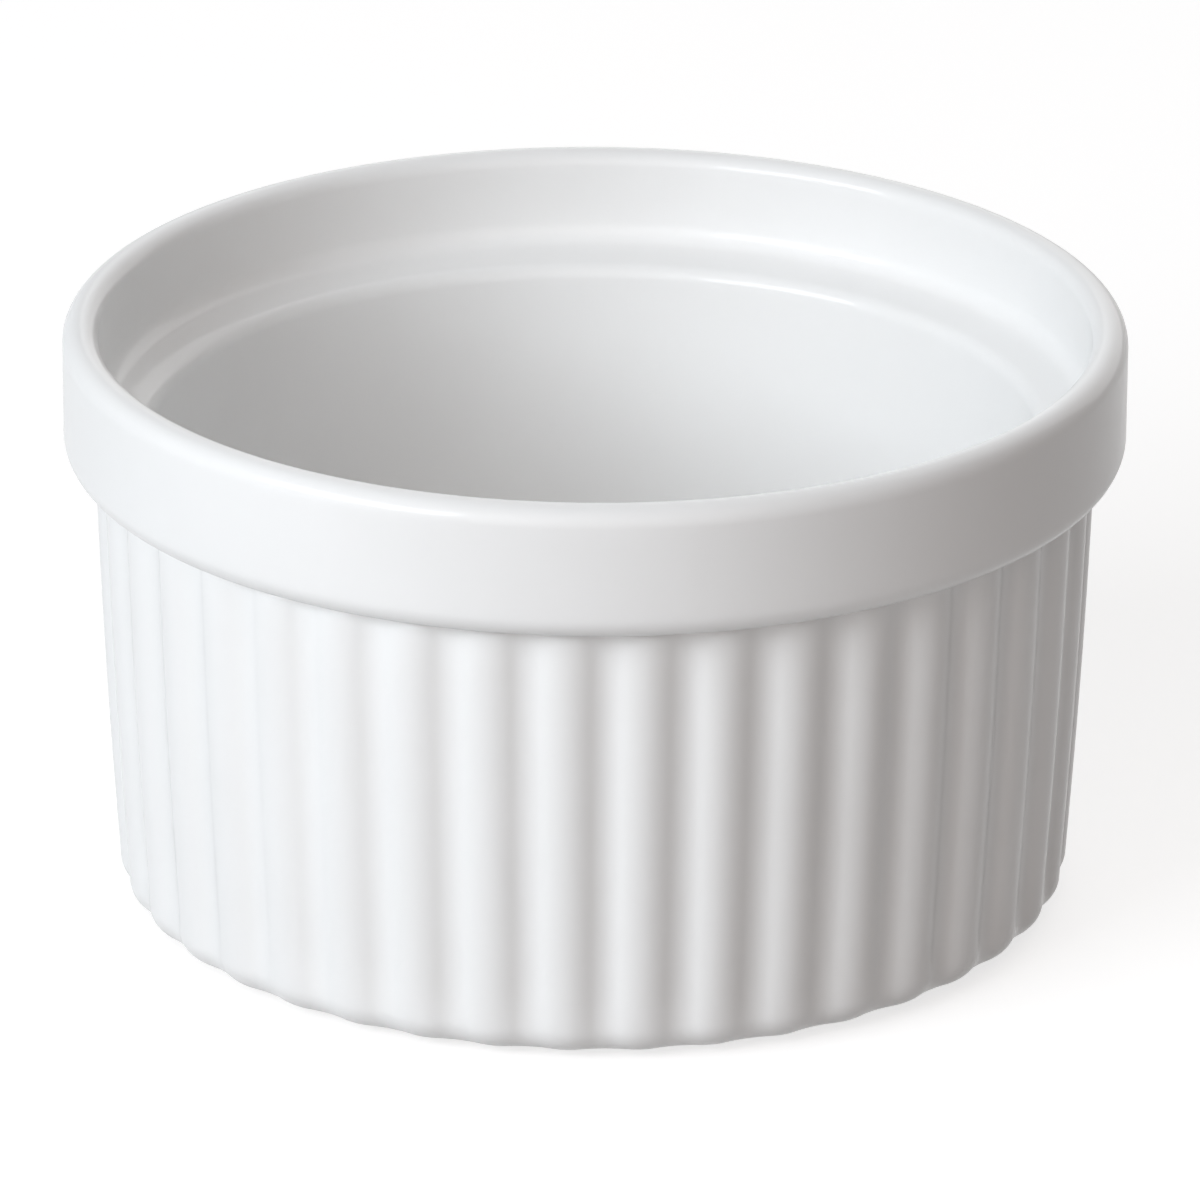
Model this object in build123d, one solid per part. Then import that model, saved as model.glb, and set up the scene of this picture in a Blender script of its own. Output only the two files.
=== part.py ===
from build123d import *
import math
import os

# A fluted porcelain ramekin: a round baking dish with a plain collar, a ribbed
# wall and a stacking ledge inside the collar. It is one fired clay body with
# glass glaze fused over it, left bare on the foot ring that it stands on.
# Millimetres, Z up, origin at the middle of the foot ring's resting plane.

# Overall form, measured on the finished, glazed surface
rim_diameter = 90.0
height = 51.0
collar_height = 11.5
glaze_thickness = 0.3

# Lip and collar
lip_width = 3.0
lip_outer_round = 2.2
lip_inner_round = 0.78
collar_lower_round = 2.0
collar_wall = 3.15

# Stacking ledge inside the collar
ledge_depth = 7.7
ledge_width = 4.35
ledge_drop = 1.55
ledge_root_round = 2.0
ledge_edge_round = 1.5

# Ribbed outer wall
rib_count = 40
first_rib_share = 0.5
rib_depth = 0.68
rib_top_setback = 2.6
wall_draft = 1.9
rib_top_round = 0.7
neck_height = 0.7
neck_inset = 0.15
crest_relief = 0.03

# Base, with the foot ring that the dish stands on
base_round = 2.7
foot_height = 0.8
foot_width = 3.0
foot_setback = 4.4
core_margin = 0.25
foot_recess = 1.3
glaze_stop = 0.45

# Inside
floor_thickness = 3.2
inner_draft = 1.6
floor_round = 6.0

# Corner of a rib's lower end as inward and upward shares of its round, bevelled twice or once
glaze_end_shares = ((0.73, 0), (0.27, 0.27), (0, 0.73))
clay_end_shares = ((0.52, 0), (0, 0.52))

# How far the cutting shapes reach past what they cut
cut_overrun = 10.0

# Worked out from the sizes above
rim_radius = rim_diameter / 2
collar_bottom = height - collar_height
rib_top = collar_bottom - neck_height
rib_pitch = 360 / rib_count
top_crest_radius = rim_radius - rib_top_setback
base_crest_radius = top_crest_radius - wall_draft
neck_radius = top_crest_radius - rib_depth - neck_inset
foot_outer_radius = base_crest_radius - foot_setback
foot_inner_radius = foot_outer_radius - foot_width
lip_inner_radius = rim_radius - lip_width
ledge_outer_radius = rim_radius - collar_wall
ledge_inner_radius = ledge_outer_radius - ledge_width
ledge_outer_height = height - ledge_depth
ledge_inner_height = ledge_outer_height - ledge_drop
floor_height = foot_recess + floor_thickness
floor_radius = ledge_inner_radius - inner_draft


def half_section(skin, top_round):
    """Half section of the dish without its grooves, a skin's thickness inside the finished surface."""
    corners = [
        ((foot_inner_radius + skin, foot_recess + skin), 0),
        ((foot_inner_radius + skin, 0), 0),
        ((foot_outer_radius - skin, 0), 0),
        ((foot_outer_radius - skin, foot_height + skin), 0),
        ((base_crest_radius + crest_relief - skin, foot_height + skin), 0),
        ((top_crest_radius + crest_relief - skin, rib_top - skin), top_round),
        ((neck_radius - skin, rib_top - skin), 0),
        ((neck_radius - skin, collar_bottom + skin), 0),
        ((rim_radius - skin, collar_bottom + skin), collar_lower_round - skin),
        ((rim_radius - skin, height - skin), lip_outer_round - skin),
        ((lip_inner_radius + skin, height - skin), lip_inner_round - skin),
        ((ledge_outer_radius + skin, ledge_outer_height - skin), ledge_root_round + skin),
        ((ledge_inner_radius + skin, ledge_inner_height - skin), ledge_edge_round - skin),
        ((floor_radius + skin, floor_height - skin), floor_round + skin),
    ]
    points = [(0, foot_recess + skin)]
    points += [point for point, rounding in corners]
    points += [(0, floor_height - skin)]
    outline = FilletPolyline(points, radius=[rounding for point, rounding in corners])
    axis_side = Line(outline @ 1, outline @ 0)
    return Plane.XZ * make_face(Curve() + [outline, axis_side])


def rib_curve():
    """Radius of a rib's round face, which meets the next one in a valley a rib's depth down."""
    valley = Vector(top_crest_radius - rib_depth, 0).rotate(Axis.Z, rib_pitch / 2)
    rise = top_crest_radius - valley.X
    return (rise**2 + valley.Y**2) / (2 * rise)


def rib_bar(radius, corner_shares):
    """A round bar standing on its lower end, whose corner is turned down in one or two bevels."""
    points = [(0, 0)]
    points += [(radius - base_round * inward, base_round * upward) for inward, upward in corner_shares]
    points += [(radius, 2 * height), (0, 2 * height)]
    return revolve(Plane.XZ * make_face(Polyline(*points, close=True)), Axis.Z)


def ribbed_wall(skin, corner_shares):
    """Round bars that lean out with the wall, side by side round a core, so that they meet in valleys."""
    centre_radius = base_crest_radius - rib_curve()
    lean = math.degrees(math.atan2(wall_draft, rib_top - foot_height))
    upright = rib_bar(rib_curve() - skin, corner_shares)
    bar = Pos(centre_radius, 0, foot_height + skin) * Rot(0, lean, 0) * upright
    bars = [Rot(0, 0, (count + first_rib_share) * rib_pitch) * bar for count in range(rib_count)]
    core = Cylinder(foot_outer_radius + core_margin, 2 * (height + cut_overrun))
    return core.fuse(*bars)


def groove_cutter(skin, corner_shares):
    """Everything outside the ribbed wall, from below the foot up to the neck under the collar."""
    low = -cut_overrun
    high = collar_bottom - neck_height / 2
    around = extrude(Pos(0, 0, low) * Circle(rim_radius + cut_overrun), high - low)
    return around - ribbed_wall(skin, corner_shares)


def dish(skin, top_round, corner_shares):
    """The whole dish, a skin's thickness inside the finished surface."""
    turned = revolve(half_section(skin, top_round), Axis.Z)
    return turned - groove_cutter(skin, corner_shares)


def glaze_pieces(clay):
    """The glaze over the clay, which stops on the sides of the bare foot ring."""
    above = extrude(Pos(0, 0, glaze_stop) * Circle(rim_radius + cut_overrun), height)
    return ((dish(0, rib_top_round, glaze_end_shares) - clay) & above).solids().sort_by(SortBy.VOLUME)


# The clay ribs end in a crisp edge at the top and one bevel at the base, which the glaze softens
porcelain_body = dish(glaze_thickness, 0, clay_end_shares)
base_glaze, glaze_coat = glaze_pieces(porcelain_body)

os.makedirs("parts", exist_ok=True)
export_step(porcelain_body, "parts/porcelain_body.step")
export_step(glaze_coat, "parts/glaze_coat.step")
export_step(base_glaze, "parts/base_glaze.step")
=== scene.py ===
import math

import bmesh
import bpy
import numpy as np
from mathutils import Matrix, Vector


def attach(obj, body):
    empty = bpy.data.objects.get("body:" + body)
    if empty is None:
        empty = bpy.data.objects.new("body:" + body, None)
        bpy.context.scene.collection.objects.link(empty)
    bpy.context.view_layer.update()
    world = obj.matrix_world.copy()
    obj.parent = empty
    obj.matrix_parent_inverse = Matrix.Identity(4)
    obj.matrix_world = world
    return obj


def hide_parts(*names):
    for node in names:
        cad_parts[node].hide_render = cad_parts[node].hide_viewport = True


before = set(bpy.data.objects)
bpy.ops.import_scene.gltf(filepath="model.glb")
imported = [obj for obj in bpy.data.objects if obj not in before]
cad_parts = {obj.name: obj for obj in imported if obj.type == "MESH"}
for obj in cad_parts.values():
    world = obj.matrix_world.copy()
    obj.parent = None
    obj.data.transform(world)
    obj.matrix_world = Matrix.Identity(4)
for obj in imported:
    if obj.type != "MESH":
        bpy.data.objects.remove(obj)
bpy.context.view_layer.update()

MM = 0.001

# The finished dish in millimetres, with the sizes of the part's source
RIM_RADIUS = 45.0
HEIGHT = 51.0
COLLAR_BOTTOM = 39.5
COLLAR_LOWER_ROUND = 2.0
LIP_INNER_RADIUS = 42.0
LEDGE_OUTER_RADIUS = 41.85
LEDGE_OUTER_HEIGHT = 43.3
LEDGE_INNER_RADIUS = 37.5
LEDGE_INNER_HEIGHT = 41.75
LEDGE_ROOT_ROUND = 2.0
LEDGE_EDGE_ROUND = 1.5
FLOOR_RADIUS = 35.9
FLOOR_HEIGHT = 4.5
FLOOR_ROUND = 6.0
FOOT_OUTER_RADIUS = 36.1
FOOT_HEIGHT = 0.8
GLAZE_STOP = 0.45
GLAZE_THICKNESS = 0.3
RIB_COUNT = 40
TOP_CREST_RADIUS = 42.4
BASE_CREST_RADIUS = 40.5
BASE_ROUND = 2.7
WALL_TOP = 38.8
TOP_ROUND = 0.7

# Where the glaze follows the photograph more closely than the part's source
LIP_OUTER_ROUND = 1.65
LIP_INNER_ROUND = 1.33
RIB_DEPTH = 0.80
RIB_TOP = 39.2
NECK_RADIUS = 41.45
BASE_SINK = 0.3
WALL_BULGE = 0.2

# Shares of a rib: its round crest at the finished surface and at least, and its depth at the base
RIB_CREST_SHARE = 0.6
LEAST_CREST_SHARE = 0.15
RIB_BASE_SHARE = 0.5
FADE_RATE = 8.0

# Small corners of the glaze, and the face that it turns to the clay
FOOT_CORNER_ROUND = 0.1
FOOT_CORNER_MIDDLE = 0.03
NECK_BLEND = 0.05
NECK_START = 0.12
NECK_CORNER_ROUND = 0.15
CLAY_LIP_ROUND = 0.5
CLAY_GAP = 0.02

# Mesh fineness
COLUMNS_PER_RIB = 24
BASE_STEPS = 12
WALL_STEPS = 24
TOP_STEPS = 10
ARC_STEP = math.radians(6)
LONGEST_RUN = 1.5

# Glaze: values of the shader, shades by noise value, clouds and waves
GLAZE_SURFACE = {
    "Roughness": 0.45,
    "IOR": 1.5,
    "Specular IOR Level": 0.15,
    "Coat Weight": 0.42,
    "Coat Roughness": 0.05,
    "Coat IOR": 1.5,
}
GLAZE_SHADES = ((0.3, (0.905, 0.905, 0.9, 1)), (0.7, (0.925, 0.926, 0.922, 1)))
GLAZE_CLOUD = {"Scale": 60.0, "Detail": 3.0}
GLAZE_WAVE = {"Scale": 220.0, "Detail": 1.5}
GLAZE_BUMP = {"Strength": 0.06, "Distance": 0.0004}

# Bare fired clay: values of the shader, shades by noise value and grain
CLAY_SURFACE = {"Roughness": 0.8, "Specular IOR Level": 0.3}
CLAY_SHADES = ((0.3, (0.70, 0.665, 0.61, 1)), (0.65, (0.83, 0.81, 0.77, 1)))
CLAY_GRAIN = {"Scale": 1800.0, "Detail": 4.0}
CLAY_BUMP = {"Strength": 0.35, "Distance": 0.0001}

# Floor under the dish, in metres, with the glow that lifts it to white where it is seen
GROUND_SURFACE = {
    "Base Color": (0.51, 0.50, 0.495, 1),
    "Roughness": 0.9,
    "Specular IOR Level": 0.0,
    "Emission Color": (1, 1, 1, 1),
}
GROUND_GLOW = 0.70
GROUND_REACH = 6.0
GROUND_DROP = 0.00002

# Surround as light on the dish, and as it is seen
DIM_SURROUND = {"Color": (1.0, 0.90, 0.87, 1), "Strength": 0.03}
WHITE_SURROUND = {"Color": (1, 1, 1, 1), "Strength": 1.0}

# Softboxes: name, direction from the dish, distance and size in metres, watts and colour
SOFTBOXES = (
    ("window", (-0.721, -0.543, 0.431), 0.9, (0.66, 0.32), 5.3, (0.90, 0.955, 1.0)),
    ("soft_key", (-0.553, -0.708, 0.438), 1.3, (1.3, 1.2), 2.9, (0.90, 0.955, 1.0)),
    ("front_fill", (0.0, -0.9, 0.5), 1.3, (1.5, 1.5), 4.8, (1.0, 0.87, 0.81)),
    ("back_fill", (0.35, 0.75, 0.55), 1.3, (1.5, 1.5), 6.9, (1.0, 1.0, 1.0)),
    ("ceiling", (-0.1, 0.0, 1.0), 1.3, (1.5, 1.5), 2.2, (0.92, 0.97, 1.0)),
)
LAMP_TARGET = (0, 0, 0.025)

# Camera, fitted to the photograph's outline: places in rim radii, angles in radians, lens in millimetres
VIEW_DISTANCE = 20.0
VIEW_ELEVATION = 0.3802
VIEW_ROLL = -0.005
VIEW_SIDE = 0.0113
VIEW_HEIGHT = 0.5633
VIEW_TURN = math.radians(-1.5)
VIEW_LENS = 316.4
SENSOR_WIDTH = 36.0

# Nearest and furthest that the camera sees, in metres
CLIP_START = 0.05
CLIP_END = 50.0


def arc_corner(before, corner, after, radius):
    """Points of a round that replaces a corner of an outline, from one tangent point to the other."""
    corner = np.array(corner, float)
    to_before = np.array(before, float) - corner
    to_after = np.array(after, float) - corner
    to_before /= np.linalg.norm(to_before)
    to_after /= np.linalg.norm(to_after)
    half = math.acos(float(np.clip(to_before @ to_after, -1, 1))) / 2
    middle = (to_before + to_after) / np.linalg.norm(to_before + to_after)
    centre = corner + middle * radius / math.sin(half)
    first = corner + to_before * radius / math.tan(half) - centre
    turn = math.pi - 2 * half
    steps = max(2, math.ceil(turn / ARC_STEP))
    side = np.sign(to_before[0] * to_after[1] - to_before[1] * to_after[0])
    points = []
    for count in range(steps + 1):
        angle = -side * turn * count / steps
        cos, sin = math.cos(angle), math.sin(angle)
        points.append(centre + np.array([cos * first[0] - sin * first[1], sin * first[0] + cos * first[1]]))
    return points


def rounded_outline(corners):
    """Radius and height pairs along an outline of (point, round) corners, with long runs divided."""
    points = [np.array(corners[0][0], float)]
    for place in range(1, len(corners) - 1):
        corner, radius = corners[place]
        before = corners[place - 1][0]
        after = corners[place + 1][0]
        points += arc_corner(before, corner, after, radius)
    points.append(np.array(corners[-1][0], float))
    divided = [points[0]]
    for point in points[1:]:
        start = divided[-1]
        gap = point - start
        parts = max(1, math.ceil(float(np.linalg.norm(gap)) / LONGEST_RUN))
        divided += [start + gap * (count + 1) / parts for count in range(parts)]
    return divided


def soft_max(first, second, softness):
    """The larger of two values, with the change from one to the other rounded."""
    share = np.clip(0.5 + (first - second) / (2 * softness), 0, 1)
    return first * share + second * (1 - share) + softness * share * (1 - share)


def rib_ring(angles, height, inset):
    """Radius at each angle of the ribbed wall, moved in by an inset that narrows the crests."""
    climb = (height - FOOT_HEIGHT) / (WALL_TOP - FOOT_HEIGHT)
    bulge = WALL_BULGE * math.sin(math.pi * min(max(climb, 0), 1))
    crest = BASE_CREST_RADIUS + (TOP_CREST_RADIUS - BASE_CREST_RADIUS) * climb + bulge
    half_width = crest * math.pi / RIB_COUNT
    share = max(LEAST_CREST_SHARE, RIB_CREST_SHARE - 2 * RIB_DEPTH * inset / half_width**2)
    depth = RIB_DEPTH * (RIB_BASE_SHARE + (1 - RIB_BASE_SHARE) * min(1, max(0, climb) * FADE_RATE))
    off = np.abs(2 * ((angles * RIB_COUNT / (2 * math.pi)) % 1.0) - 1)
    convex = off**2 / share
    hollow = 1 - (1 - off) ** 2 / (1 - share)
    return crest - inset - depth * np.where(off < share, convex, hollow)


def ribbed_rows(angles, skin):
    """Rows of (radii, height) from the foot's side round the base and up the ribs to the neck."""
    even = np.ones_like(angles)
    foot = FOOT_OUTER_RADIUS - skin
    neck = NECK_RADIUS - skin
    low = FOOT_HEIGHT + skin
    base_round = BASE_ROUND - skin
    base_top = low - BASE_SINK + base_round
    wall_top = RIB_TOP - skin - TOP_ROUND
    first_turn = math.acos(1 - BASE_SINK / base_round)
    inner_end = rib_ring(angles, low, skin + base_round * (1 - math.sin(first_turn)))
    rows = [
        (even * foot, GLAZE_STOP),
        (even * foot, low - FOOT_CORNER_ROUND),
        (even * (foot + FOOT_CORNER_MIDDLE), low - FOOT_CORNER_MIDDLE),
        (even * (foot + FOOT_CORNER_ROUND), low),
        ((foot + FOOT_CORNER_ROUND + inner_end) / 2, low),
    ]
    for count in range(BASE_STEPS + 1):
        turn = first_turn + (math.pi / 2 - first_turn) * count / BASE_STEPS
        height = low - BASE_SINK + base_round * (1 - math.cos(turn))
        rows.append((rib_ring(angles, height, skin + base_round * (1 - math.sin(turn))), height))
    for count in range(1, WALL_STEPS + 1):
        height = base_top + (wall_top - base_top) * count / WALL_STEPS
        rows.append((rib_ring(angles, height, skin), height))
    for count in range(1, TOP_STEPS + 1):
        turn = math.pi / 2 * count / TOP_STEPS
        height = wall_top + TOP_ROUND * math.sin(turn)
        ring = rib_ring(angles, height, skin + TOP_ROUND * (1 - math.cos(turn)))
        rows.append((soft_max(ring, neck, NECK_BLEND), height))
    return rows


def turned_rows(angles, skin):
    """Rows of (radii, height) from the neck over the collar and the lip to just short of the axis."""
    lip_round = CLAY_LIP_ROUND if skin else LIP_INNER_ROUND
    corners = [
        ((NECK_RADIUS - skin, RIB_TOP - skin + NECK_START), 0),
        ((NECK_RADIUS - skin, COLLAR_BOTTOM + skin), NECK_CORNER_ROUND),
        ((RIM_RADIUS - skin, COLLAR_BOTTOM + skin), COLLAR_LOWER_ROUND - skin),
        ((RIM_RADIUS - skin, HEIGHT - skin), LIP_OUTER_ROUND - skin),
        ((LIP_INNER_RADIUS + skin, HEIGHT - skin), lip_round),
        ((LEDGE_OUTER_RADIUS + skin, LEDGE_OUTER_HEIGHT - skin), LEDGE_ROOT_ROUND + skin),
        ((LEDGE_INNER_RADIUS + skin, LEDGE_INNER_HEIGHT - skin), LEDGE_EDGE_ROUND - skin),
        ((FLOOR_RADIUS + skin, FLOOR_HEIGHT - skin), FLOOR_ROUND + skin),
        ((0.0, FLOOR_HEIGHT - skin), 0),
    ]
    return [(np.full_like(angles, radius), height) for radius, height in rounded_outline(corners)[:-1]]


def glaze_mesh(name):
    """The glaze as a closed skin: its finished face, its face to the clay and the edge on the foot."""
    columns = RIB_COUNT * COLUMNS_PER_RIB
    angles = np.arange(columns) * 2 * math.pi / columns
    around = np.stack([np.cos(angles), np.sin(angles)], axis=1)
    pairs = [(column, (column + 1) % columns) for column in range(columns)]
    points = []
    faces = []
    starts = []
    for skin in (0.0, GLAZE_THICKNESS - CLAY_GAP):
        rows = ribbed_rows(angles, skin) + turned_rows(angles, skin)
        start = len(points)
        for radii, height in rows:
            points += [(x * MM, y * MM, height * MM) for x, y in around * radii[:, None]]
        pole = len(points)
        points.append((0.0, 0.0, (FLOOR_HEIGHT - skin) * MM))
        side = []
        for low in range(start, pole - columns, columns):
            high = low + columns
            side += [(low + here, low + after, high + after, high + here) for here, after in pairs]
        last = pole - columns
        side += [(last + here, last + after, pole) for here, after in pairs]
        faces += [face[::-1] for face in side] if skin else side
        starts.append(start)
    outer, inner = starts
    faces += [(outer + after, outer + here, inner + here, inner + after) for here, after in pairs]
    mesh = bpy.data.meshes.new(name)
    mesh.from_pydata(points, [], faces)
    mesh.update()
    mesh.shade_smooth()
    piece = bpy.data.objects.new(name, mesh)
    bpy.context.scene.collection.objects.link(piece)
    return piece


def set_sockets(node, values):
    """Set constant values on a node's own sockets."""
    for socket, value in values.items():
        node.inputs[socket].default_value = value


def new_material(name, surface):
    """A node material with its node tree and its principled shader, set to a surface's values."""
    material = bpy.data.materials.new(name)
    material.use_nodes = True
    shader = material.node_tree.nodes["Principled BSDF"]
    set_sockets(shader, surface)
    return material, material.node_tree, shader


def object_noise(tree, values):
    """Noise that stays where it is on the object."""
    coords = tree.nodes.new("ShaderNodeTexCoord")
    noise = tree.nodes.new("ShaderNodeTexNoise")
    set_sockets(noise, values)
    tree.links.new(coords.outputs["Object"], noise.inputs["Vector"])
    return noise.outputs["Fac"]


def add_shades(tree, noise, shades, colour):
    """Let noise drift a colour socket between two near shades."""
    ramp = tree.nodes.new("ShaderNodeValToRGB")
    for element, (position, shade) in zip(ramp.color_ramp.elements, shades):
        element.position = position
        element.color = shade
    tree.links.new(noise, ramp.inputs["Fac"])
    tree.links.new(ramp.outputs["Color"], colour)


def add_bump(tree, noise, values, normal):
    """Let noise make a normal socket a little uneven."""
    bump = tree.nodes.new("ShaderNodeBump")
    set_sockets(bump, values)
    tree.links.new(noise, bump.inputs["Height"])
    tree.links.new(bump.outputs["Normal"], normal)


def glaze_material():
    """White gloss glaze: a soft body under a clear coat that is a little wavy."""
    material, tree, shader = new_material("glaze", GLAZE_SURFACE)
    add_shades(tree, object_noise(tree, GLAZE_CLOUD), GLAZE_SHADES, shader.inputs["Base Color"])
    add_bump(tree, object_noise(tree, GLAZE_WAVE), GLAZE_BUMP, shader.inputs["Coat Normal"])
    return material


def bare_material():
    """Bare fired porcelain on the foot ring: matt, slightly warm and finely grained."""
    material, tree, shader = new_material("bare_porcelain", CLAY_SURFACE)
    grain = object_noise(tree, CLAY_GRAIN)
    add_shades(tree, grain, CLAY_SHADES, shader.inputs["Base Color"])
    add_bump(tree, grain, CLAY_BUMP, shader.inputs["Normal"])
    return material


def seen_directly(tree):
    """1 for what the camera sees, also mirrored or through glass, and 0 for the light on the dish."""
    path = tree.nodes.new("ShaderNodeLightPath")
    seen = path.outputs["Is Camera Ray"]
    for ray in ("Is Glossy Ray", "Is Transmission Ray"):
        either = tree.nodes.new("ShaderNodeMath")
        either.operation = "MAXIMUM"
        tree.links.new(seen, either.inputs[0])
        tree.links.new(path.outputs[ray], either.inputs[1])
        seen = either.outputs[0]
    return seen


def ground_material():
    """A pale floor that the camera and the gloss see as white outside the dish's shadow."""
    material, tree, shader = new_material("floor_paint", GROUND_SURFACE)
    glow = tree.nodes.new("ShaderNodeMath")
    glow.operation = "MULTIPLY"
    glow.inputs[1].default_value = GROUND_GLOW
    tree.links.new(seen_directly(tree), glow.inputs[0])
    tree.links.new(glow.outputs[0], shader.inputs["Emission Strength"])
    return material


def build_ground():
    """A wide plain floor just under the foot ring."""
    mesh = bpy.data.meshes.new("floor")
    work = bmesh.new()
    bmesh.ops.create_grid(work, x_segments=1, y_segments=1, size=GROUND_REACH)
    work.to_mesh(mesh)
    work.free()
    mesh.materials.append(ground_material())
    floor = bpy.data.objects.new("floor", mesh)
    floor.location = (0, 0, -GROUND_DROP)
    bpy.context.scene.collection.objects.link(floor)


def build_world():
    """An even, dim surround, which the camera and the gloss see as white."""
    world = bpy.data.worlds.new("surround")
    bpy.context.scene.world = world
    world.use_nodes = True
    tree = world.node_tree
    dim = tree.nodes["Background"]
    set_sockets(dim, DIM_SURROUND)
    white = tree.nodes.new("ShaderNodeBackground")
    set_sockets(white, WHITE_SURROUND)
    mix = tree.nodes.new("ShaderNodeMixShader")
    tree.links.new(seen_directly(tree), mix.inputs["Fac"])
    tree.links.new(dim.outputs["Background"], mix.inputs[1])
    tree.links.new(white.outputs["Background"], mix.inputs[2])
    tree.links.new(mix.outputs["Shader"], tree.nodes["World Output"].inputs["Surface"])


def add_softbox(name, direction, distance, size, power, colour):
    """A rectangular area lamp that looks at the dish from a direction."""
    lamp = bpy.data.lights.new(name, "AREA")
    lamp.shape = "RECTANGLE"
    lamp.size, lamp.size_y = size
    lamp.energy = power
    lamp.color = colour
    holder = bpy.data.objects.new(name, lamp)
    away = Vector(direction).normalized()
    holder.location = Vector(LAMP_TARGET) + away * distance
    holder.rotation_euler = away.to_track_quat("Z", "Y").to_euler()
    bpy.context.scene.collection.objects.link(holder)


def build_camera():
    """The photograph's viewpoint: a long lens, a little above the dish."""
    unit = RIM_RADIUS * MM
    forward = Vector((0, math.cos(VIEW_ELEVATION), -math.sin(VIEW_ELEVATION)))
    up = Vector((0, math.sin(VIEW_ELEVATION), math.cos(VIEW_ELEVATION)))
    right = Vector((1, 0, 0))
    cos, sin = math.cos(VIEW_ROLL), math.sin(VIEW_ROLL)
    rolled_right = right * cos - up * sin
    rolled_up = right * sin + up * cos
    matrix = Matrix((rolled_right, rolled_up, -forward)).transposed().to_4x4()
    matrix.translation = Vector((VIEW_SIDE, 0, VIEW_HEIGHT)) * unit - forward * VIEW_DISTANCE * unit
    data = bpy.data.cameras.new("camera")
    data.lens = VIEW_LENS
    data.sensor_width = SENSOR_WIDTH
    data.clip_start = CLIP_START
    data.clip_end = CLIP_END
    camera = bpy.data.objects.new("camera", data)
    camera.matrix_world = Matrix.Rotation(VIEW_TURN, 4, "Z") @ matrix
    bpy.context.scene.collection.objects.link(camera)
    bpy.context.scene.camera = camera


glaze = glaze_material()
bare = bare_material()

glaze_skin = glaze_mesh("glaze_skin")
glaze_skin.data.materials.append(glaze)
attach(glaze_skin, "root")
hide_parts("glaze_coat")

for node, material in (("base_glaze", glaze), ("porcelain_body", bare)):
    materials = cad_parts[node].data.materials
    materials.clear()
    materials.append(material)

build_ground()
build_world()
for softbox in SOFTBOXES:
    add_softbox(*softbox)
build_camera()

bpy.context.scene.view_settings.view_transform = "Standard"
